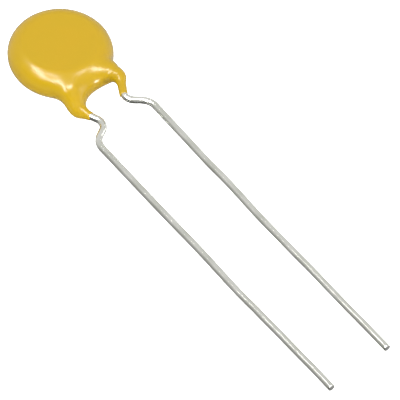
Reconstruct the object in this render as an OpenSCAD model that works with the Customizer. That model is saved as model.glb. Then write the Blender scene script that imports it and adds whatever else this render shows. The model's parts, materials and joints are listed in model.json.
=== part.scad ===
// Ceramic disc capacitor: a round ceramic plate with a silver electrode fired on each face,
// a tinned wire soldered to each electrode, and one glossy dipped coating over all of it.
// The coating runs down the two wires as short legs, and both wires are kinked below it.
//
// Body axes: X across the leads, Y up the disc and away from the leads, Z out of the front face.
// The origin of those axes is the middle of the disc. The finished part lies on its back:
// on the coating's back face and the tip of the back lead.

/* [Ceramic disc] */
// Diameter of the ceramic disc
ceramic_d = 6.4; // [5.8:0.1:6.8]
// Thickness of the ceramic disc
ceramic_t = 0.8; // [0.5:0.05:0.95]

/* [Electrodes] */
// Diameter of the silver on each face
electrode_d = 5.6; // [5.2:0.1:5.7]
// Thickness of the silver
electrode_t = 0.04; // [0.02:0.01:0.06]

/* [Solder] */
// Solder between a wire and the silver under it
solder_film = 0.04; // [0.02:0.01:0.06]
// Solder around a wire
solder_wall = 0.22; // [0.12:0.02:0.28]
// Length of wire that is soldered down
solder_len = 2.5; // [1.5:0.1:3]
// How much fuller the solder is at its two ends
solder_bead = 0.03; // [0.02:0.01:0.06]

/* [Leads] */
// Diameter of the tinned copper wire
wire_d = 0.6; // [0.5:0.02:0.66]
// Distance between the straight parts of the two leads
lead_pitch = 5.08; // [4.6:0.02:5.6]
// From the disc's centre down to the tip of the front lead, the longer one
lead_reach = 39.4; // [25:0.1:45]
// How much shorter the back lead is cut
back_short = 0.3; // [0:0.1:3]
// How far the front lead's kink steps in from its straight part
front_kink = 1.47; // [1.2:0.01:1.8]
// How far the back lead's kink steps in from its straight part
back_kink = 1.74; // [1.2:0.01:1.8]
// From the disc's centre down to the innermost corner of the kinks
kink_drop = 7.35; // [7.1:0.01:7.6]
// From the disc's centre down to where the straight parts start
straight_drop = 8.48; // [8.3:0.01:9.5]
// Bend radius at the innermost corner of the kinks
kink_bend = 0.92; // [0.7:0.02:1]
// Bend radius at the top of the straight parts
straight_bend = 1.48; // [1:0.02:1.6]
// Half the distance between the wires at the bend inside the coating
grip_x = 2.01; // [1.9:0.01:2.08]
// From the disc's centre down to the bend inside the coating
grip_drop = 4.94; // [4.8:0.01:5.05]
// Bend radius inside the coating
grip_bend = 0.9; // [0.6:0.02:1]
// How much smaller the wire's radius is through a bend, which draws it a little thinner
bend_draw = 0.012; // [0.01:0.002:0.02]
// How far past the disc's middle line a wire's inner end reaches
end_cross = 0.2; // [0:0.05:0.4]
// How far above the disc's centre a wire's inner end lies
end_rise = 0.6; // [0.2:0.05:0.9]

/* [Coating] */
// Diameter of the coated disc
coat_d = 8.4; // [8.2:0.05:8.6]
// Thickness of the coated disc, whose rim is fully round
coat_t = 2.94; // [2.8:0.02:3.2]
// Length of front wire below its bend that the coating covers
front_run = 2.05; // [1.4:0.05:2.1]
// Length of back wire below its bend that the coating covers
back_run = 1.25; // [1:0.05:2]
// Thickness of the coating where it ends on a wire
end_wall = 0.03; // [0.02:0.01:0.06]
// Radius of a coated leg's core at the bend, before it flows into the rest
leg_r = 0.36; // [0.34:0.01:0.4]
// Radius of a coated leg's core where it leaves the disc
root_r = 0.58; // [0.5:0.01:0.65]
// From the disc's middle line out to a leg's root
root_x = 1.65; // [1.5:0.01:1.7]
// From the disc's centre down to a leg's root
root_drop = 4.28; // [4.1:0.01:4.35]
// How far out of the middle plane a leg's root lies
root_level = 0.6; // [0.45:0.01:0.65]
// Radius of the bar of coating that hangs between the legs
web_r = 0.11; // [0.05:0.01:0.2]
// Half the length of that bar
web_x = 1.2; // [1.1:0.01:1.3]
// From the disc's centre down to that bar
web_drop = 4.01; // [3.9:0.01:4.1]
// How widely the legs flow into the disc
disc_blend = 1.8; // [1.7:0.02:2]
// How widely the two halves of a leg flow into each other
leg_blend = 0.94; // [0.7:0.02:1]
// How widely the bar flows into the legs
web_blend = 0.5; // [0.4:0.02:0.6]

/* [Smoothness] */
// Rings of points around the disc
disc_rings = 36; // [30:2:44]
// Points in each ring
ring_points = 36; // [24:4:40]

/* [Hidden] */
$fn = 48;

wire_r = wire_d / 2;
coat_r = coat_d / 2;
rim_r = coat_t / 2;
flat_r = coat_r - rim_r;
straight_x = lead_pitch / 2;
electrode_z = ceramic_t / 2 + electrode_t;
lead_z = electrode_z + solder_film + wire_r;
solder_r = wire_r + solder_wall;

// Each lead is described on the +X side and at +lead_z; the back one is turned over onto -X.
FRONT = 1;
BACK = -1;
function of_side(side, front, back) = side == FRONT ? front : back;
function kink_x(side) = straight_x - of_side(side, front_kink, back_kink);
function reach(side) = lead_reach - of_side(side, 0, back_short);
wire_end = [-end_cross, end_rise];
grip = [grip_x, -grip_drop];
function kink(side) = [kink_x(side), -kink_drop];
straight = [straight_x, -straight_drop];
function tip(side) = [straight_x, -reach(side)];

function unit(v) = v / norm(v);
function mix(a, b, t) = a + (b - a) * t;
function limit(t) = min(max(t, 0), 1);
function ease(t) = let (u = limit(t)) u * u * (3 - 2 * u);
function left_of(v) = [-v.y, v.x];
function cross_z(a, b) = a.x * b.y - a.y * b.x;

// The part lies pitched so that the back lead's tip and the coating both touch the ground.
rest_pitch = atan((rim_r - lead_z - wire_r) / (reach(BACK) - flat_r));
rest_z = rim_r * cos(rest_pitch) + flat_r * sin(rest_pitch);
rest_y = (reach(FRONT) - coat_r) / 2;

module at_rest() translate([0, rest_y, rest_z]) rotate([rest_pitch, 0, 0]) children();
module on_side(side) rotate([0, side == FRONT ? 0 : 180, 0]) children();

// ---- Wires -------------------------------------------------------------------------------

// Straight wire between two points in the plane of a lead
module wire(a, b, r) {
    run = b - a;
    translate([a.x, a.y, 0]) rotate([90, 0, atan2(run.y, run.x) + 90]) cylinder(r = r, h = norm(run));
}

// Length of wire that a bend of radius bend takes up on each side of its corner
function bend_take(a, corner, b, bend) =
    let (before = unit(corner - a), after = unit(b - corner))
    bend * tan(acos(before * after) / 2);

// Round bend at a corner of the wire's path, run a little way into the straights on each side
BEND_LAP = 0.08;
module wire_bend(a, corner, b, bend) {
    before = unit(corner - a);
    after = unit(b - corner);
    hand = sign(cross_z(before, after));
    start = corner - before * bend_take(a, corner, b, bend);
    centre = start + left_of(before) * hand * bend;
    swing = acos(before * after);
    lap = atan(BEND_LAP / bend);
    from = atan2(start.y - centre.y, start.x - centre.x) - (hand < 0 ? swing : 0) - lap;
    translate([centre.x, centre.y, 0])
        rotate([0, 0, from]) rotate_extrude(angle = swing + 2 * lap)
            translate([bend, 0]) circle(r = wire_r - bend_draw);
}

// One lead: soldered end, bend inside the coating, kink, and straight part down to its tip
module lead(side) {
    route = [wire_end, grip, kink(side), straight, tip(side)];
    bends = [0, grip_bend, kink_bend, straight_bend, 0];
    last = len(route) - 1;
    take = [for (i = [0 : last]) i == 0 || i == last ? 0
        : bend_take(route[i - 1], route[i], route[i + 1], bends[i])];
    on_side(side) translate([0, 0, lead_z]) union() {
        for (i = [0 : last - 1]) {
            way = unit(route[i + 1] - route[i]);
            wire(route[i] + way * take[i], route[i + 1] - way * take[i + 1], wire_r);
        }
        for (i = [1 : last - 1]) wire_bend(route[i - 1], route[i], route[i + 1], bends[i]);
    }
}

// ---- Inside the coating ------------------------------------------------------------------

module disc_plate() translate([0, 0, -ceramic_t / 2]) cylinder(d = ceramic_d, h = ceramic_t);

module electrode(side) on_side(side)
    translate([0, 0, ceramic_t / 2]) cylinder(d = electrode_d, h = electrode_t);

// Rounded bar of solder over a wire's end, flat where it wets the silver
module solder_bar(side) on_side(side) {
    start = wire_end + unit(grip - wire_end) * solder_len;
    intersection() {
        translate([0, 0, lead_z]) union() {
            wire(wire_end, start, solder_r);
            for (at = [wire_end, start])
                translate([at.x, at.y, 0]) sphere(r = solder_r + solder_bead);
        }
        translate([0, 0, electrode_z]) cylinder(d = electrode_d, h = coat_t);
    }
}

module solder_joint(side) difference() {
    solder_bar(side);
    lead(side);
}

// ---- Coating -----------------------------------------------------------------------------
// The skin of the coating is where gap() is zero: gap() is about the distance from a point to
// the dipped body, less than zero inside it. Rounded forms flow together through blend().

function blend(a, b, width) =
    let (t = limit(0.5 + (b - a) / (2 * width)))
    mix(b, a, t) - width * t * (1 - t);

// Gap to a bar whose radius goes evenly from ra at a to rb at b
function bar_gap(p, a, b, ra, rb) =
    let (t = limit((p - a) * (b - a) / ((b - a) * (b - a))))
    norm(p - mix(a, b, t)) - mix(ra, rb, t);

function disc_gap(p) = norm([max(norm([p.x, p.y]) - flat_r, 0), p.z]) - rim_r;

// Both legs, as they lie: side is 1 for the front leg at +X, -1 for the back leg at -X
function run(side) = of_side(side, front_run, back_run);
function level(flat, side) = [side * flat.x, flat.y, side * lead_z];
function way_down(side) = unit(kink(side) - grip);
function coat_end(side) = grip + way_down(side) * run(side);
function past_end(side) = coat_end(side) + way_down(side);
function leg_root(side) = [side * root_x, -root_drop, side * root_level];
end_r = wire_r + end_wall;

LEG_POINTS = [for (side = [BACK, FRONT]) [
    leg_root(side), level(grip, side), level(coat_end(side), side), level(past_end(side), side)
]];
web_level = lead_z * web_x / grip_x;
WEB = [[-web_x, -web_drop, -web_level], [web_x, -web_drop, web_level]];

function leg_gap(p, leg) = blend(
    bar_gap(p, leg[0], leg[1], root_r, leg_r),
    min(bar_gap(p, leg[1], leg[2], leg_r, end_r), bar_gap(p, leg[2], leg[3], end_r, end_r)),
    leg_blend);

// Both faces stay flat, so nothing rises past them
function gap(p) = max(abs(p.z) - rim_r, blend(
    disc_gap(p),
    blend(min(leg_gap(p, LEG_POINTS[0]), leg_gap(p, LEG_POINTS[1])),
        bar_gap(p, WEB[0], WEB[1], web_r, web_r), web_blend),
    disc_blend));

// The skin is a row of closed rings, from one leg's end up the leg, round the disc and down the
// other leg. A section is [inner, middle, outer, level, height]: a curve across the body, seen
// from the front, the height of that curve's plane, and how tall a ring is to start with.
ARCH_X = 1.25;
ARCH_DROP = 5.15;
ARCH_RISE = 0.9;
ARCH_START = 45;
RIM_START = 224;
BOW = 0.45;
LEG_STEP = 0.19;
ROOT_RINGS = 5;

function leg_section(side, t) =
    let (
        centre = mix(grip, coat_end(side), t),
        out = unit(mix([1, 0], left_of(way_down(side)), ease(t / 0.6))),
        half = mix(0.6, 0.4, t),
        at = [side * centre.x, centre.y],
        across = [side * out.x, out.y] * half
    )
    [at - across, at, at + across, side * lead_z, half];

function leg_sections(side) =
    let (steps = ceil(run(side) / LEG_STEP))
    [for (i = [0 : steps]) leg_section(side, i / steps)];

function disc_section(s) =
    let (
        rim = mix(RIM_START, 180 - RIM_START, s),
        arch = mix(180 - ARCH_START, ARCH_START, s),
        near = min(s, 1 - s),
        outer = coat_r * [cos(rim), sin(rim)],
        inner = [ARCH_X * cos(arch), ARCH_RISE * sin(arch) - ARCH_DROP],
        centre = mix(mix(inner, outer, 0.5), BOW * outer, ease(near / 0.16)),
        to_leg = 1 - ease(near / 0.14)
    )
    [inner, centre, outer, -0.6 * lead_z * cos(180 * s) * to_leg, mix(rim_r, 1, to_leg)];

function mix_sections(a, b, t) = [for (i = [0 : 4]) mix(a[i], b[i], t)];
function reversed(list) = [for (i = [len(list) - 1 : -1 : 0]) list[i]];

function all_sections() =
    let (
        back_leg = leg_sections(BACK),
        front_leg = leg_sections(FRONT),
        disc = [for (i = [0 : disc_rings]) disc_section(i / disc_rings)]
    )
    concat(
        reversed(back_leg),
        [for (i = [1 : ROOT_RINGS - 1]) mix_sections(back_leg[0], disc[0], i / ROOT_RINGS)],
        disc,
        [for (i = [1 : ROOT_RINGS - 1]) mix_sections(disc[disc_rings], front_leg[0], i / ROOT_RINGS)],
        front_leg
    );

// Point of a section's curve; t is -1 at its inner end and 1 at its outer end, and may run past
function curve(sec, t) =
    let (u = (t + 1) / 2, v = limit(u))
    mix(mix(sec[0], sec[1], v), mix(sec[1], sec[2], v), v)
        + 2 * min(u, 0) * (sec[1] - sec[0]) + 2 * max(u - 1, 0) * (sec[2] - sec[1]);

function ring_point(sec, angle, size) =
    let (flat = curve(sec, size * cos(angle)))
    [flat.x, flat.y, sec[3] + size * sin(angle) * sec[4]];

// Smallest size at which the ray leaves the body: steps outwards, then halves the last step
SIZE_STEP = 0.1;
HALVINGS = 12;
function way_out(sec, angle, size) =
    gap(ring_point(sec, angle, size)) > 0 ? halve(sec, angle, size - SIZE_STEP, size, HALVINGS)
        : way_out(sec, angle, size + SIZE_STEP);
function halve(sec, angle, low, high, left) =
    let (half = (low + high) / 2)
    left == 0 ? half
        : gap(ring_point(sec, angle, half)) > 0 ? halve(sec, angle, low, half, left - 1)
        : halve(sec, angle, half, high, left - 1);

function ring(sec) = [for (i = [0 : ring_points - 1])
    let (angle = 360 * i / ring_points) ring_point(sec, angle, way_out(sec, angle, 0))];

// Closed solid through a row of rings that all have n points
module skin(rings) {
    n = len(rings[0]);
    last = (len(rings) - 1) * n;
    faces = concat(
        [for (i = [0 : n : last - n]) for (j = [0 : n - 1])
            [i + j, i + n + (j + 1) % n, i + (j + 1) % n]],
        [for (i = [0 : n : last - n]) for (j = [0 : n - 1])
            [i + j, i + n + j, i + n + (j + 1) % n]],
        [[for (j = [0 : n - 1]) j]],
        [[for (j = [n - 1 : -1 : 0]) last + j]]
    );
    polyhedron(points = [for (r = rings) each r], faces = faces);
}

// ---- The nodes ---------------------------------------------------------------------------

module coating() color([0.87, 0.70, 0.16]) at_rest() difference() {
    skin([for (sec = all_sections()) ring(sec)]);
    disc_plate();
    for (side = [BACK, FRONT]) {
        electrode(side);
        solder_bar(side);
        lead(side);
    }
}

module ceramic_disc() color([0.80, 0.74, 0.62]) at_rest() disc_plate();

module front_electrode() color([0.86, 0.86, 0.84]) at_rest() electrode(FRONT);

module back_electrode() color([0.86, 0.86, 0.84]) at_rest() electrode(BACK);

module front_solder() color([0.66, 0.67, 0.68]) at_rest() solder_joint(FRONT);

module back_solder() color([0.66, 0.67, 0.68]) at_rest() solder_joint(BACK);

module front_lead() color([0.76, 0.76, 0.73]) at_rest() lead(FRONT);

module back_lead() color([0.76, 0.76, 0.73]) at_rest() lead(BACK);

coating();
ceramic_disc();
front_electrode();
back_electrode();
front_solder();
back_solder();
front_lead();
back_lead();
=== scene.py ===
import json
import math

import bpy
import numpy as np
from mathutils import Matrix, Vector


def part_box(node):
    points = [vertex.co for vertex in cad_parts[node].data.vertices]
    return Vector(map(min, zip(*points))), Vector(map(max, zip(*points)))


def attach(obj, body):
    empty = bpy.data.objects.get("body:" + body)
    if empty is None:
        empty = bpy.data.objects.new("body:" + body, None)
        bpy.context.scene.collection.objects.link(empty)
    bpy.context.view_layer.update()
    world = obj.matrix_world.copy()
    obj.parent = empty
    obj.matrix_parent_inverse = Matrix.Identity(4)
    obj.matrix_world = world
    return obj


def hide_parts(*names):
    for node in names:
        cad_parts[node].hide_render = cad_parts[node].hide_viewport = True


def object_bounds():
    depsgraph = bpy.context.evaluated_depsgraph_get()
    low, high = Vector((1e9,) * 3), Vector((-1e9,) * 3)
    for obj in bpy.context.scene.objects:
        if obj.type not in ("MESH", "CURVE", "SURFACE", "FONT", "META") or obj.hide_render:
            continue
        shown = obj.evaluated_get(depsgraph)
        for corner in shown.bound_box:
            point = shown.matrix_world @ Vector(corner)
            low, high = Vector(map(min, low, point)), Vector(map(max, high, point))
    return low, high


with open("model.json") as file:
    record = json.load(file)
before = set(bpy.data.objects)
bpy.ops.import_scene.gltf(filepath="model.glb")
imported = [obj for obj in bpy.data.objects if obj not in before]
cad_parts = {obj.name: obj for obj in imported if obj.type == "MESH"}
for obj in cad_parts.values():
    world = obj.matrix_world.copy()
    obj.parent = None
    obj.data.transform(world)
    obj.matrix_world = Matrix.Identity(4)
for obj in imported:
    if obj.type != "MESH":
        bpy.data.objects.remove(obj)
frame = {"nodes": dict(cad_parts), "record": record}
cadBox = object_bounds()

mm = 0.001


# Where the disc lies: its middle, and the way its front face looks. Forms below are worked out
# in millimetres on the disc's own axes (x across the leads, y away from them, z out of the front
# face) and then put in place.

def boxCentre(node):
    low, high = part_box(node)
    return np.array((low + high) / 2)


mounts = {mount["name"]: mount for mount in frame["record"]["mounts"]}
discCentre = boxCentre("ceramic_disc")
acrossWay = np.array([1.0, 0.0, 0.0])
upWay = -np.array(mounts["front_lead_end"]["axis"])
faceWay = np.cross(acrossWay, upWay)


def placed(points):
    p = np.asarray(points, float) * mm
    return discCentre + p[..., 0:1] * acrossWay + p[..., 1:2] * upWay + p[..., 2:3] * faceWay


def onDisc(point):
    p = (np.array(point) - discCentre) / mm
    return np.array([p @ acrossWay, p @ upWay, p @ faceWay])


def mix(a, b, t):
    return a + (b - a) * t


def ease(t):
    t = np.clip(t, 0, 1)
    return t * t * (3 - 2 * t)


def unit(v):
    return v / np.linalg.norm(v)


# Node helpers

def addNode(tree, kind, inputs=None, **settings):
    node = tree.nodes.new(kind)
    for name, value in settings.items():
        setattr(node, name, value)
    for name, value in (inputs or {}).items():
        socket = node.inputs[name]
        if isinstance(value, bpy.types.NodeSocket):
            tree.links.new(value, socket)
        else:
            socket.default_value = value
    return node


def newGroup(name, kind, inputs, outputs):
    tree = bpy.data.node_groups.new(name, kind)
    for label, socketType, value in inputs:
        socket = tree.interface.new_socket(label, in_out="INPUT", socket_type=socketType)
        if value is not None:
            socket.default_value = value
    for label, socketType in outputs:
        tree.interface.new_socket(label, in_out="OUTPUT", socket_type=socketType)
    return tree, tree.nodes.new("NodeGroupInput"), tree.nodes.new("NodeGroupOutput")


def mixColour(tree, share, a, b):
    node = addNode(tree, "ShaderNodeMix", data_type="RGBA")
    for socket, value in ((node.inputs[0], share), (node.inputs[6], a), (node.inputs[7], b)):
        if isinstance(value, bpy.types.NodeSocket):
            tree.links.new(value, socket)
        else:
            socket.default_value = value
    return node.outputs[2]


# Surface effects that more than one finish uses. Their vectors are in millimetres.

def buildToneDrift():
    tree, given, result = newGroup("toneDrift", "ShaderNodeTree", [
        ("Vector", "NodeSocketVector", None),
        ("Colour", "NodeSocketColor", (0.5, 0.5, 0.5, 1)),
        ("Other colour", "NodeSocketColor", (0.4, 0.4, 0.4, 1)),
        ("Patches per mm", "NodeSocketFloat", 0.5),
        ("Share", "NodeSocketFloat", 0.5),
    ], [("Colour", "NodeSocketColor"), ("Mask", "NodeSocketFloat")])
    patches = addNode(tree, "ShaderNodeTexNoise", {
        "Vector": given.outputs["Vector"], "Scale": given.outputs["Patches per mm"], "Detail": 3.0,
    })
    spread = addNode(tree, "ShaderNodeMapRange", {
        "Value": patches.outputs["Fac"], "From Min": 0.35, "From Max": 0.65,
        "To Min": 0.0, "To Max": given.outputs["Share"],
    })
    colour = mixColour(tree, spread.outputs[0], given.outputs["Colour"], given.outputs["Other colour"])
    tree.links.new(colour, result.inputs["Colour"])
    tree.links.new(spread.outputs[0], result.inputs["Mask"])
    return tree


def buildFineRelief():
    tree, given, result = newGroup("fineRelief", "ShaderNodeTree", [
        ("Vector", "NodeSocketVector", None),
        ("Waves per mm", "NodeSocketFloat", 1.0),
        ("Grains per mm", "NodeSocketFloat", 10.0),
        ("Grain share", "NodeSocketFloat", 0.3),
        ("Roughness", "NodeSocketFloat", 0.3),
        ("Roughness spread", "NodeSocketFloat", 0.05),
    ], [("Height", "NodeSocketFloat"), ("Roughness", "NodeSocketFloat")])
    waves = addNode(tree, "ShaderNodeTexNoise", {
        "Vector": given.outputs["Vector"], "Scale": given.outputs["Waves per mm"], "Detail": 1.0,
    })
    grains = addNode(tree, "ShaderNodeTexNoise", {
        "Vector": given.outputs["Vector"], "Scale": given.outputs["Grains per mm"], "Detail": 3.0,
    })
    grainHeight = addNode(tree, "ShaderNodeMath", operation="MULTIPLY")
    tree.links.new(grains.outputs["Fac"], grainHeight.inputs[0])
    tree.links.new(given.outputs["Grain share"], grainHeight.inputs[1])
    height = addNode(tree, "ShaderNodeMath", operation="ADD")
    tree.links.new(waves.outputs["Fac"], height.inputs[0])
    tree.links.new(grainHeight.outputs[0], height.inputs[1])
    swing = addNode(tree, "ShaderNodeMapRange", {
        "Value": grains.outputs["Fac"], "To Min": -1.0, "To Max": 1.0,
    })
    roughness = addNode(tree, "ShaderNodeMath", operation="MULTIPLY_ADD")
    tree.links.new(swing.outputs[0], roughness.inputs[0])
    tree.links.new(given.outputs["Roughness spread"], roughness.inputs[1])
    tree.links.new(given.outputs["Roughness"], roughness.inputs[2])
    tree.links.new(height.outputs[0], result.inputs["Height"])
    tree.links.new(roughness.outputs[0], result.inputs["Roughness"])
    return tree


toneDrift = buildToneDrift()
fineRelief = buildFineRelief()


def startMaterial(name, vectorScale=(1, 1, 1), attribute=None):
    material = bpy.data.materials.new(name)
    material.use_nodes = True
    tree = material.node_tree
    if attribute:
        source = addNode(tree, "ShaderNodeAttribute", attribute_name=attribute).outputs["Vector"]
        perMm = 1.0
    else:
        source = addNode(tree, "ShaderNodeTexCoord").outputs["Object"]
        perMm = 1 / mm
    place = addNode(tree, "ShaderNodeMapping", {
        "Vector": source, "Scale": tuple(perMm * s for s in vectorScale),
    })
    return material, tree, place.outputs["Vector"], tree.nodes["Principled BSDF"]


def useGroup(tree, group, inputs):
    return addNode(tree, "ShaderNodeGroup", inputs, node_tree=group)


def dress(tree, shader, finish, vector, reliefVector=None):
    tone = useGroup(tree, toneDrift, {
        "Vector": vector, "Colour": finish["colour"], "Other colour": finish["otherColour"],
        "Patches per mm": finish["patchesPerMm"], "Share": finish["patchShare"],
    })
    relief = useGroup(tree, fineRelief, {
        "Vector": reliefVector or vector, "Waves per mm": finish["wavesPerMm"],
        "Grains per mm": finish["grainsPerMm"], "Grain share": finish["grainShare"],
        "Roughness": finish["roughness"], "Roughness spread": finish["roughnessSpread"],
    })
    bump = addNode(tree, "ShaderNodeBump", {
        "Height": relief.outputs["Height"], "Strength": 1.0, "Distance": finish["relief"] * mm,
    })
    tree.links.new(tone.outputs["Colour"], shader.inputs["Base Color"])
    tree.links.new(relief.outputs["Roughness"], shader.inputs["Roughness"])
    tree.links.new(bump.outputs["Normal"], shader.inputs["Normal"])
    return tone, relief


print("stage: helpers and shader groups ready")


# The camera looks down on the lying part through a long lens.
camera = {
    "azimuth": -38.1, "elevation": 49.85, "roll": 2.19,   # degrees on the disc's axes
    "aim": (3.823, -13.579, -7.316),                       # millimetres from the disc's centre
    "distance": 1309.2, "lens": 1500, "sensor": 36,
    "nearest": 0.05, "farthest": 20,                       # metres
}


def makeCamera():
    az, el, roll = (math.radians(camera[k]) for k in ("azimuth", "elevation", "roll"))
    back = np.array([math.sin(az) * math.cos(el), -math.cos(az) * math.cos(el), math.sin(el)])
    level = np.array([math.cos(az), math.sin(az), 0])
    over = np.cross(back, level)
    right = level * math.cos(roll) + over * math.sin(roll)
    up = np.cross(back, right)
    turn = np.stack([acrossWay, upWay, faceWay], 1)
    spot = placed(np.array(camera["aim"]) + back * camera["distance"])
    data = bpy.data.cameras.new("camera")
    data.lens = camera["lens"]
    data.sensor_width = camera["sensor"]
    data.clip_start = camera["nearest"]
    data.clip_end = camera["farthest"]
    thing = bpy.data.objects.new("camera", data)
    bpy.context.collection.objects.link(thing)
    axes = Matrix([list(row) for row in np.stack([turn @ right, turn @ up, turn @ back], 1)])
    thing.matrix_world = Matrix.Translation(Vector(spot)) @ axes.to_4x4()
    bpy.context.scene.camera = thing
    return turn @ right, turn @ back


cameraRight, cameraBack = makeCamera()
towardViewer = unit(cameraBack * np.array([1, 1, 0]))
print("stage: camera")


# Pale floor, soft studio light
studio = {
    "floorSize": 1.6, "floorColour": (0.7, 0.7, 0.7, 1), "floorGlow": 0.95, "floorRoughness": 0.9,
    "skyBright": 0.82, "skyDim": 0.14, "dimAt": -0.85, "brightAt": 0.25, "skyTilt": 30, "skyRight": 0.3,
    # brightest high behind the part and a little to the right; "seen" is the brightness the camera meets
    "seen": 1.05,
}
lamps = {                                               # sideways: degrees to the right of the viewer
    "leftStrip": {"sideways": -55, "height": 55, "away": 0.6, "wide": 0.13, "high": 0.56,
                  "turn": 50, "radiance": 20.0},
    "overheadStrip": {"sideways": 31, "height": 72.5, "away": 0.6, "wide": 0.17, "high": 0.47,
                      "turn": 75, "radiance": 18.0},
    "frontFill": {"sideways": 25, "height": 16, "away": 0.8, "wide": 1.20, "high": 0.30,
                  "turn": 0, "radiance": 0.4},
    "rightFill": {"sideways": 97, "height": 11, "away": 0.8, "wide": 0.60, "high": 0.30,
                  "turn": 0, "radiance": 2.4},
    "lowLamp": {"sideways": 37.6, "height": 8, "away": 0.9, "wide": 0.08, "high": 0.06,
                "turn": 0, "radiance": 260.0},
}


def makeFloor():
    half = studio["floorSize"] / 2
    level = cadBox[0].z
    mesh = bpy.data.meshes.new("floor")
    corners = [(-half, -half), (half, -half), (half, half), (-half, half)]
    mesh.from_pydata([(x, y, level) for x, y in corners], [], [(0, 1, 2, 3)])
    floor = bpy.data.objects.new("floor", mesh)
    bpy.context.collection.objects.link(floor)
    material = bpy.data.materials.new("paleFloor")
    material.use_nodes = True
    shader = material.node_tree.nodes["Principled BSDF"]
    shader.inputs["Base Color"].default_value = studio["floorColour"]
    shader.inputs["Roughness"].default_value = studio["floorRoughness"]
    shader.inputs["Specular IOR Level"].default_value = 0.0
    shader.inputs["Emission Color"].default_value = (1, 1, 1, 1)
    shader.inputs["Emission Strength"].default_value = studio["floorGlow"]
    mesh.materials.append(material)
    floor.visible_glossy = False                        # the part mirrors the dim sky below, not the floor


def makeSky():
    world = bpy.data.worlds.new("studio")
    bpy.context.scene.world = world
    world.use_nodes = True
    tree = world.node_tree
    way = addNode(tree, "ShaderNodeTexCoord")
    tilt = math.radians(studio["skyTilt"])
    height = addNode(tree, "ShaderNodeVectorMath", operation="DOT_PRODUCT")
    tree.links.new(way.outputs["Generated"], height.inputs[0])
    behind = unit(studio["skyRight"] * cameraRight - towardViewer)
    height.inputs[1].default_value = Vector(behind * math.cos(tilt)) + Vector((0, 0, math.sin(tilt)))
    glow = addNode(tree, "ShaderNodeMapRange", {
        "Value": height.outputs["Value"], "From Min": studio["dimAt"], "From Max": studio["brightAt"],
        "To Min": studio["skyDim"], "To Max": studio["skyBright"],
    })
    path = addNode(tree, "ShaderNodeLightPath")
    level = addNode(tree, "ShaderNodeMix")
    tree.links.new(path.outputs["Is Camera Ray"], level.inputs[0])
    tree.links.new(glow.outputs[0], level.inputs[2])
    level.inputs[3].default_value = studio["seen"]
    backdrop = tree.nodes["Background"]
    backdrop.inputs["Color"].default_value = (1, 1, 1, 1)
    tree.links.new(level.outputs[0], backdrop.inputs["Strength"])


def makeLamp(name):
    lamp = lamps[name]
    side, height = math.radians(lamp["sideways"]), math.radians(lamp["height"])
    flat = towardViewer * math.cos(side) + cameraRight * math.sin(side)
    way = Vector(flat * math.cos(height) + np.array([0, 0, 1]) * math.sin(height))
    data = bpy.data.lights.new(name, "AREA")
    data.shape = "RECTANGLE"
    data.size, data.size_y = lamp["wide"], lamp["high"]
    data.energy = lamp["radiance"] * math.pi * lamp["wide"] * lamp["high"]
    thing = bpy.data.objects.new(name, data)
    bpy.context.collection.objects.link(thing)
    centre = Vector(discCentre)
    turned = Matrix.Rotation(math.radians(lamp["turn"]), 4, "Z")
    facing = way.to_track_quat("Z", "Y").to_matrix().to_4x4() @ turned
    thing.matrix_world = Matrix.Translation(centre + way * lamp["away"]) @ facing


makeFloor()
makeSky()
for lampName in lamps:
    makeLamp(lampName)
bpy.context.scene.view_settings.view_transform = "Standard"
print("stage: floor and lights")


# Leads: formed wire, described on the +x side; the back one is turned over onto -x.
leadWire = {
    "radius": 0.3, "level": 0.78,
    "endCross": 0.2, "endRise": 0.6, "gripX": 2.01, "gripDrop": 4.94, "gripBend": 0.9,
    "kinkDrop": 7.35, "kinkBend": 0.92, "straightDrop": 8.48, "straightBend": 1.48,
    "step": 0.05, "sides": 48, "chamfer": 0.03, "chamferCut": 0.12, "chamferRings": (1.0, 0.35),
    "sharpAngle": 40,
    # sway: how far outwards the hand-bent wire strays, at distances below the disc's centre
    "front": {"side": 1, "kinkX": 1.07, "mount": "front_lead_end",
              "sway": [(5, 0), (6.9, -0.13), (8.5, -0.05), (12, -0.085), (16.2, -0.13), (18.7, -0.078),
                       (23.4, -0.16), (27, -0.12), (30, -0.07), (33.6, -0.065), (37, -0.015), (39.4, 0)]},
    "back": {"side": -1, "kinkX": 0.80, "mount": "back_lead_end",
             "sway": [(5, 0), (8.5, 0.14), (16.5, 0.15), (22, 0.105), (27, 0.165), (30.2, 0.1),
                      (33, 0.055), (37.5, 0)]},
}


def leadCorners(name):
    lead = leadWire[name]
    tip = onDisc(mounts[lead["mount"]]["pos_m"])
    straightX = abs(tip[0])
    return np.array([
        (-leadWire["endCross"], leadWire["endRise"]),
        (leadWire["gripX"], -leadWire["gripDrop"]),
        (lead["kinkX"], -leadWire["kinkDrop"]),
        (straightX, -leadWire["straightDrop"]),
        (straightX, tip[1]),
    ])


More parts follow.
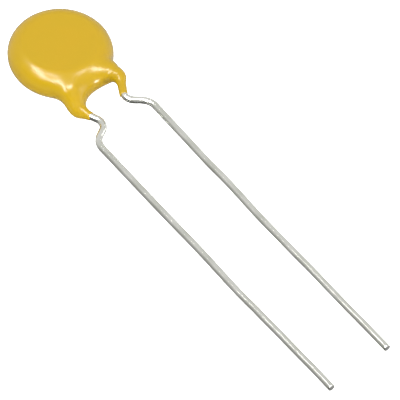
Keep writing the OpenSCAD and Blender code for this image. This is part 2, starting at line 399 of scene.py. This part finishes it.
def leadRoute(name):
    corners = leadCorners(name)
    bends = [0, leadWire["gripBend"], leadWire["kinkBend"], leadWire["straightBend"], 0]
    path = [corners[0]]
    for i in range(1, len(corners) - 1):
        before, after = unit(corners[i] - corners[i - 1]), unit(corners[i + 1] - corners[i])
        turn = math.acos(before @ after)
        hand = np.sign(before[0] * after[1] - before[1] * after[0])
        start = corners[i] - before * bends[i] * math.tan(turn / 2)
        aside = np.array([-before[1], before[0]]) * hand
        steps = max(8, round(bends[i] * turn / leadWire["step"]))
        for k in range(steps + 1):
            a = turn * k / steps
            path.append(start + before * bends[i] * math.sin(a) + aside * bends[i] * (1 - math.cos(a)))
    path.append(corners[-1])
    dense = [path[0]]
    for a, b in zip(path, path[1:]):
        steps = max(1, math.ceil(np.linalg.norm(b - a) / (3 * leadWire["step"])))
        dense += [mix(a, b, k / steps) for k in range(1, steps + 1)]
    route = np.array(dense)
    for (top, before), (foot, after) in zip(leadWire[name]["sway"], leadWire[name]["sway"][1:]):
        here = (-route[:, 1] > top) & (-route[:, 1] <= foot)
        route[here, 0] += mix(before, after, ease((-route[here, 1] - top) / (foot - top)))
    return route


# The dipped skin. Where skinGap is zero the resin ends; inside it is less than zero. Rounded forms
# flow together through blend.
dip = {
    "radius": 4.165, "rim": 1.465,
    "legRadius": 0.39, "endRadius": 0.345,
    # rounded, uneven edge on the wire: last rings as (size, distance past the end)
    "lip": ((0.985, 0.02), (0.95, 0.04), (0.88, 0.05)), "lipWave": 0.05, "lipRings": 8, "lipPhase": 0.7,
    "front": {"rootX": 1.857, "rootDrop": 4.31, "rootLevel": 0.599, "rootRadius": 0.586, "run": 2.05,
              "cornerShift": (0.054, -0.129), "lean": -0.15, "legBlend": 0.629, "discBlend": 1.703},
    "back": {"rootX": 1.981, "rootDrop": 3.878, "rootLevel": -0.222, "rootRadius": 0.504, "run": 1.25,
             "cornerShift": (0, 0), "lean": 0.04, "legBlend": 1.05, "discBlend": 1.667},
    "webFrom": (-1.108, -4.098, -0.256), "webTo": (1.25, -3.664, 0.02), "webRadius": 0.236, "webBlend": 1.198,
    "valley": 0.12, "flatBlend": 0.03,
    "rootBend": 0.5, "footBend": 0.35,                  # how far the rounded bend reaches either way
    "discRings": 190, "rootRings": 14, "legStep": 0.05, "ringPoints": 160, "sharpAngle": 50,
    "reach": 2.4, "coarseSteps": 49, "halvings": 22,    # search for the surface along each ray
    # where the rings stand: square to each leg, then fanned between an arch in the crotch and the rim
    "legSize": (0.6, 0.4), "legTurn": 0.6, "toLegShare": 0.14, "toBowShare": 0.16, "crossing": 0.6,
    "archX": 1.25, "archDrop": 5.42, "archRise": 0.9, "archStart": 45, "rimStart": 224, "bow": 0.45,
}
sides = {"back": -1, "front": 1}


def blend(a, b, width):
    t = np.clip(0.5 + (b - a) / (2 * width), 0, 1)
    return mix(b, a, t) - width * t * (1 - t)


def barGap(p, a, b, radiusA, radiusB):
    run = b - a
    t = np.clip((p - a) @ run / (run @ run), 0, 1)
    return np.linalg.norm(p - a - t[..., None] * run, axis=-1) - mix(radiusA, radiusB, t)


def legLine(name):
    side, leg = sides[name], dip[name]
    corners = leadCorners(name)
    end = corners[1] + unit(corners[2] - corners[1]) * leg["run"] + np.array([leg["lean"], 0])
    level = side * leadWire["level"]
    corner, foot, past = (np.array([side * q[0], q[1], level])
                          for q in (corners[1] + leg["cornerShift"], end, end + unit(end - corners[1])))
    root = np.array([side * leg["rootX"], -leg["rootDrop"], side * leg["rootLevel"]])
    before, after = mix(corner, root, dip["rootBend"]), mix(corner, foot, dip["footBend"])
    bend = [mix(mix(before, corner, t), mix(corner, after, t), t) for t in (0, 0.25, 0.5, 0.75, 1)]
    return {
        "corner": corner, "foot": foot, "past": past,
        "upper": [root] + bend[:3], "lower": bend[2:] + [foot],
    }


legLines = {name: legLine(name) for name in sides}


def chainGap(p, points, radiusA, radiusB):
    radii = np.linspace(radiusA, radiusB, len(points))
    bars = [barGap(p, *points[k:k + 2], *radii[k:k + 2]) for k in range(len(points) - 1)]
    return np.minimum.reduce(bars)


def legGap(p, name):
    line, leg = legLines[name], dip[name]
    upper = chainGap(p, line["upper"], leg["rootRadius"], dip["legRadius"])
    lower = chainGap(p, line["lower"], dip["legRadius"], dip["endRadius"])
    past = barGap(p, line["foot"], line["past"], dip["endRadius"], dip["endRadius"])
    return blend(upper, np.minimum(lower, past), leg["legBlend"])


def skinGap(p):
    out = np.hypot(p[..., 0], p[..., 1]) - (dip["radius"] - dip["rim"])
    disc = np.hypot(np.maximum(out, 0), p[..., 2]) - dip["rim"]
    halves = [blend(disc, legGap(p, name), dip[name]["discBlend"]) for name in sides]
    web = barGap(p, np.array(dip["webFrom"]), np.array(dip["webTo"]), dip["webRadius"], dip["webRadius"])
    whole = blend(blend(*halves, dip["valley"]), web, dip["webBlend"])
    flat = np.abs(p[..., 2]) - dip["rim"]
    return -blend(-whole, -flat, dip["flatBlend"])


# Rings of points run from one leg's end up the leg, round the disc and down the other leg. A
# section is (inner, middle, outer, level, height), as in a curve across the body seen from the front.

def legSection(name, t):
    side = sides[name]
    corner, foot = legLines[name]["corner"][:2], legLines[name]["foot"][:2]
    centre = mix(corner, foot, t)
    down = unit(foot - corner)
    level, square = np.array([1.0, 0.0]), np.array([-down[1], down[0]])
    across = side * unit(mix(level, square, ease(t / dip["legTurn"])))
    half = mix(*dip["legSize"], t)
    return [centre - across * half, centre, centre + across * half, side * leadWire["level"], half]


def discSection(s):
    rim = math.radians(mix(dip["rimStart"], 180 - dip["rimStart"], s))
    arch = math.radians(mix(180 - dip["archStart"], dip["archStart"], s))
    near = min(s, 1 - s)
    outer = dip["radius"] * np.array([math.cos(rim), math.sin(rim)])
    inner = np.array([dip["archX"] * math.cos(arch), dip["archRise"] * math.sin(arch) - dip["archDrop"]])
    centre = mix(mix(inner, outer, 0.5), dip["bow"] * outer, ease(near / dip["toBowShare"]))
    toLeg = 1 - ease(near / dip["toLegShare"])
    level = -dip["crossing"] * leadWire["level"] * math.cos(math.pi * s) * toLeg
    return [inner, centre, outer, level, mix(dip["rim"], 1, toLeg)]


def mixSections(a, b, t):
    return [mix(x, y, t) for x, y in zip(a, b)]


def allSections():
    legs = {}
    for name in sides:
        steps = math.ceil(dip[name]["run"] / dip["legStep"])
        legs[name] = [legSection(name, k / steps) for k in range(steps + 1)]
    disc = [discSection(k / dip["discRings"]) for k in range(dip["discRings"] + 1)]
    n = dip["rootRings"]
    toDisc = [mixSections(legs["back"][0], disc[0], k / n) for k in range(1, n)]
    fromDisc = [mixSections(disc[-1], legs["front"][0], k / n) for k in range(1, n)]
    return legs["back"][::-1] + toDisc + disc + fromDisc + legs["front"]


def ringPoints(section, angles, size):
    inner, middle, outer, level, height = section
    u = (size * np.cos(angles) + 1) / 2
    v = np.clip(u, 0, 1)[:, None]
    flat = mix(mix(inner, middle, v), mix(middle, outer, v), v)
    flat = flat + 2 * np.minimum(u, 0)[:, None] * (middle - inner)
    flat = flat + 2 * np.maximum(u - 1, 0)[:, None] * (outer - middle)
    return np.column_stack([flat, level + size * np.sin(angles) * height])


def skinRing(section, angles):
    sizes = np.linspace(0, dip["reach"], dip["coarseSteps"])
    gaps = np.array([skinGap(ringPoints(section, angles, np.full(len(angles), s))) for s in sizes])
    first = (gaps > 0).argmax(0)
    low, high = sizes[np.maximum(first - 1, 0)], sizes[first]
    for _ in range(dip["halvings"]):
        half = (low + high) / 2
        outside = skinGap(ringPoints(section, angles, half)) > 0
        low, high = np.where(outside, low, half), np.where(outside, half, high)
    return ringPoints(section, angles, (low + high) / 2)


def ringFaces(rings, count):
    faces = []
    for i in range(rings - 1):
        for j in range(count):
            k = (j + 1) % count
            faces.append((i * count + j, i * count + k, (i + 1) * count + k, (i + 1) * count + j))
    return faces


def withLip(rings, angles):
    way = unit(rings[-1].mean(0) - rings[-3].mean(0))
    wave = dip["lipWave"] * np.cos(2 * angles + dip["lipPhase"])
    count = dip["lipRings"]
    for k in range(1, count + 1):
        rings[-k] = rings[-k] + np.outer(wave * ease((count + 1 - k) / count), way)
    last, centre = rings[-1], rings[-1].mean(0)
    return rings + [centre + (last - centre) * size + way * past for size, past in dip["lip"]]


def newPiece(name, mesh, material):
    if not mesh.materials:
        mesh.materials.append(material)
    piece = bpy.data.objects.new(name, mesh)
    bpy.context.collection.objects.link(piece)
    return piece


def makeSkin(material):
    count = dip["ringPoints"]
    angles = np.arange(count) * 2 * math.pi / count
    rings = [skinRing(section, angles) for section in allSections()]
    rings = withLip(withLip(rings, angles)[::-1], angles)[::-1]
    points = np.concatenate(rings)
    faces = ringFaces(len(rings), count)
    first, last = len(points), len(points) + 1
    points = np.vstack([points, rings[0].mean(0), rings[-1].mean(0)])
    start = (len(rings) - 1) * count
    for j in range(count):
        k = (j + 1) % count
        faces.append((first, k, j))
        faces.append((last, start + j, start + k))
    mesh = bpy.data.meshes.new("dipped_coating")
    mesh.from_pydata([tuple(p) for p in placed(points)], [], faces)
    mesh.validate()
    mesh.shade_smooth()
    mesh.set_sharp_from_angle(angle=math.radians(dip["sharpAngle"]))
    return newPiece("dipped_coating", mesh, material)


resin = {
    "colour": (0.247, 0.153, 0.0001, 1), "otherColour": (0.238, 0.153, 0.0002, 1),
    "patchesPerMm": 0.45, "patchShare": 0.7,
    "wavesPerMm": 0.9, "grainsPerMm": 9.0, "grainShare": 0.05,
    "roughness": 0.25, "roughnessSpread": 0.03, "relief": 0.02,
    "ior": 1.47,
    # painted shade: the resin's base colour turns dark olive where the surface is seen edge on, darkening its
    # outline
    "edgeShadeColour": (0.13, 0.095, 0.012, 1), "edgeShadeFrom": 0.55, "edgeShadeShare": 0.75,   # olive where seen edge on
}


def makeResin():
    material, tree, vector, shader = startMaterial("mustardResin")
    tone, _ = dress(tree, shader, resin, vector)
    # painted shade: Layer Weight facing mixes the base colour toward dark olive at grazing view, darkening
    # the rim and outline
    facing = addNode(tree, "ShaderNodeLayerWeight", {"Blend": 0.5})
    edge = addNode(tree, "ShaderNodeMapRange", {
        "Value": facing.outputs["Facing"], "From Min": resin["edgeShadeFrom"], "From Max": 1.0,
        "To Min": 0.0, "To Max": resin["edgeShadeShare"],
    })
    colour = mixColour(tree, edge.outputs[0], tone.outputs["Colour"], resin["edgeShadeColour"])
    tree.links.new(colour, shader.inputs["Base Color"])
    shader.inputs["IOR"].default_value = resin["ior"]
    return material


tin = {
    "colour": (0.76, 0.76, 0.71, 1), "otherColour": (0.60, 0.61, 0.54, 1),
    "patchesPerMm": 0.9, "patchShare": 0.8,
    "wavesPerMm": 1.2, "grainsPerMm": 6.0, "grainShare": 0.6,
    "roughness": 0.13, "roughnessSpread": 0.03, "relief": 0.004,
    # (from, full, how much): roughness that comes on between these millimetres along the wire, for the
    # last stretch and for the formed kink
    "extra": ((24, 36, 0.045), (12.5, 10, 0.09)),
    "markScale": (0.35, 2.2, 2.2),                      # marks are drawn out along the wire
    "cutColour": (0.50, 0.50, 0.48, 1), "cutRoughness": 0.4,
}


def makeTin():
    material, tree, vector, shader = startMaterial("tinPlate", (0.5, 1, 1), "wireWay")
    marks = addNode(tree, "ShaderNodeMapping", {"Vector": vector, "Scale": tin["markScale"]})
    tone, relief = dress(tree, shader, tin, vector, marks.outputs["Vector"])
    cut = addNode(tree, "ShaderNodeAttribute", attribute_name="cutFace").outputs["Fac"]
    colour = mixColour(tree, cut, tone.outputs["Colour"], tin["cutColour"])
    tree.links.new(colour, shader.inputs["Base Color"])
    along = addNode(tree, "ShaderNodeAttribute", attribute_name="alongWire").outputs["Fac"]
    total = relief.outputs["Roughness"]
    for start, full, most in tin["extra"]:
        extra = addNode(tree, "ShaderNodeMapRange", {
            "Value": along, "From Min": start * mm, "From Max": full * mm, "To Min": 0.0, "To Max": most,
        })
        both = addNode(tree, "ShaderNodeMath", operation="ADD")
        tree.links.new(total, both.inputs[0])
        tree.links.new(extra.outputs[0], both.inputs[1])
        total = both.outputs[0]
    roughness = addNode(tree, "ShaderNodeMix")
    tree.links.new(cut, roughness.inputs[0])
    tree.links.new(total, roughness.inputs[2])
    roughness.inputs[3].default_value = tin["cutRoughness"]
    tree.links.new(roughness.outputs[0], shader.inputs["Roughness"])
    shader.inputs["Metallic"].default_value = 1.0
    return material


def buildDrawnWire():
    tree, given, result = newGroup("drawnWire", "GeometryNodeTree", [
        ("Geometry", "NodeSocketGeometry", None),
        ("Wire radius", "NodeSocketFloat", 0.0003),
        ("Sides", "NodeSocketInt", 32),
        ("Material", "NodeSocketMaterial", None),
    ], [("Geometry", "NodeSocketGeometry")])
    along = addNode(tree, "GeometryNodeSplineParameter")
    path = addNode(tree, "GeometryNodeStoreNamedAttribute", {
        "Geometry": given.outputs["Geometry"], "Name": "alongWire", "Value": along.outputs["Length"],
    })
    hoop = addNode(tree, "GeometryNodeCurvePrimitiveCircle", {
        "Resolution": given.outputs["Sides"], "Radius": given.outputs["Wire radius"],
    })
    ringPlace = addNode(tree, "GeometryNodeSplineParameter")
    ring = addNode(tree, "GeometryNodeStoreNamedAttribute", {
        "Geometry": hoop.outputs["Curve"], "Name": "roundWire", "Value": ringPlace.outputs["Factor"],
    })
    swell = addNode(tree, "GeometryNodeInputRadius")
    tube = addNode(tree, "GeometryNodeCurveToMesh", {
        "Curve": path.outputs["Geometry"], "Profile Curve": ring.outputs["Geometry"],
        "Scale": swell.outputs["Radius"], "Fill Caps": True,
    })
    whole = addNode(tree, "GeometryNodeRealizeInstances", {"Geometry": tube.outputs["Mesh"]})
    painted = addNode(tree, "GeometryNodeSetMaterial", {
        "Geometry": whole.outputs["Geometry"], "Material": given.outputs["Material"],
    })
    tree.links.new(painted.outputs["Geometry"], result.inputs["Geometry"])
    return tree


drawnWire = buildDrawnWire()


def setInput(modifier, label, value):
    for item in modifier.node_group.interface.items_tree:
        if item.item_type == "SOCKET" and item.in_out == "INPUT" and item.name == label:
            modifier[item.identifier] = value


def makeLead(name, material):
    route = leadRoute(name)
    side = leadWire[name]["side"]
    level = np.full(len(route), side * leadWire["level"])
    points = placed(np.column_stack([side * route[:, 0], route[:, 1], level]))
    stretch = np.concatenate([[0], np.cumsum(np.linalg.norm(np.diff(points, axis=0), axis=1))])
    chamfer = leadWire["chamfer"] * mm
    toEnd = stretch[-1] - stretch
    extra = chamfer * np.array(leadWire["chamferRings"])    # two more rings close to the cut end
    spots = np.sort(np.concatenate([stretch, stretch[-1] - extra]))
    points = np.column_stack([np.interp(spots, stretch, points[:, k]) for k in range(3)])
    toEnd = spots[-1] - spots
    swell = 1 - leadWire["chamferCut"] * np.clip(1 - toEnd / chamfer, 0, 1) ** 2
    curve = bpy.data.curves.new(name + "Route", "CURVE")
    curve.dimensions = "3D"
    spline = curve.splines.new("POLY")
    spline.points.add(len(points) - 1)
    spline.points.foreach_set("co", np.column_stack([points, np.ones(len(points))]).ravel())
    spline.points.foreach_set("radius", swell)
    holder = bpy.data.objects.new(name + "Route", curve)
    bpy.context.collection.objects.link(holder)
    modifier = holder.modifiers.new("drawnWire", "NODES")
    modifier.node_group = drawnWire
    setInput(modifier, "Wire radius", leadWire["radius"] * mm)
    setInput(modifier, "Sides", leadWire["sides"])
    setInput(modifier, "Material", material)
    graph = bpy.context.evaluated_depsgraph_get()
    mesh = bpy.data.meshes.new_from_object(holder.evaluated_get(graph))
    bpy.data.objects.remove(holder)
    wireWay(mesh)
    mesh.shade_smooth()
    mesh.set_sharp_from_angle(angle=math.radians(leadWire["sharpAngle"]))
    return newPiece(name + "_lead_wire", mesh, material)


def wireWay(mesh):
    # one vector for the marks: millimetres along the wire, and round it on a circle, so no seam shows
    along = np.zeros(len(mesh.vertices))
    turns = np.zeros(len(mesh.vertices))
    mesh.attributes["alongWire"].data.foreach_get("value", along)
    mesh.attributes["roundWire"].data.foreach_get("value", turns)
    radius = leadWire["radius"]
    angle = 2 * math.pi * turns
    vector = np.column_stack([along / mm, radius * np.cos(angle), radius * np.sin(angle)])
    data = mesh.attributes.new("wireWay", "FLOAT_VECTOR", "POINT").data
    data.foreach_set("vector", vector.ravel())
    cut = mesh.attributes.new("cutFace", "FLOAT", "POINT").data
    cut.foreach_set("value", (along > along.max() - 1e-7).astype(float))


resinMaterial = makeResin()
skin = makeSkin(resinMaterial)
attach(skin, "root")
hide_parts("coating")
print("stage: dipped coating,", len(skin.data.polygons), "faces")

tinMaterial = makeTin()
for leadName in ("front", "back"):
    leadPiece = makeLead(leadName, tinMaterial)
    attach(leadPiece, "root")
    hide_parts(leadName + "_lead")
    print("stage:", leadName, "lead,", len(leadPiece.data.polygons), "faces")


# Pieces sealed inside the coating keep their solids and get their own finish.
firedCeramic = {
    "colour": (0.62, 0.55, 0.43, 1), "otherColour": (0.55, 0.47, 0.35, 1),
    "patchesPerMm": 0.8, "patchShare": 0.6, "wavesPerMm": 2.0, "grainsPerMm": 25.0, "grainShare": 0.8,
    "roughness": 0.7, "roughnessSpread": 0.1, "relief": 0.006, "metallic": 0.0,
}
firedSilver = {
    "colour": (0.86, 0.85, 0.82, 1), "otherColour": (0.74, 0.72, 0.68, 1),
    "patchesPerMm": 1.2, "patchShare": 0.5, "wavesPerMm": 3.0, "grainsPerMm": 30.0, "grainShare": 0.9,
    "roughness": 0.45, "roughnessSpread": 0.1, "relief": 0.004, "metallic": 1.0,
}
dullSolder = {
    "colour": (0.60, 0.61, 0.62, 1), "otherColour": (0.48, 0.49, 0.50, 1),
    "patchesPerMm": 1.5, "patchShare": 0.7, "wavesPerMm": 2.5, "grainsPerMm": 14.0, "grainShare": 0.4,
    "roughness": 0.35, "roughnessSpread": 0.12, "relief": 0.02, "metallic": 1.0,
}
innerFinishes = {
    "ceramic_disc": ("firedCeramic", firedCeramic),
    "front_electrode": ("firedSilver", firedSilver), "back_electrode": ("firedSilver", firedSilver),
    "front_solder": ("dullSolder", dullSolder), "back_solder": ("dullSolder", dullSolder),
}


def makeInnerFinish(name, finish):
    made = bpy.data.materials.get(name)
    if made:
        return made
    material, tree, vector, shader = startMaterial(name)
    dress(tree, shader, finish, vector)
    shader.inputs["Metallic"].default_value = finish["metallic"]
    return material


for node, (finishName, finish) in innerFinishes.items():
    thing = frame["nodes"][node]
    for slot in thing.material_slots:
        slot.material = makeInnerFinish(finishName, finish)
print("stage: inner pieces finished")
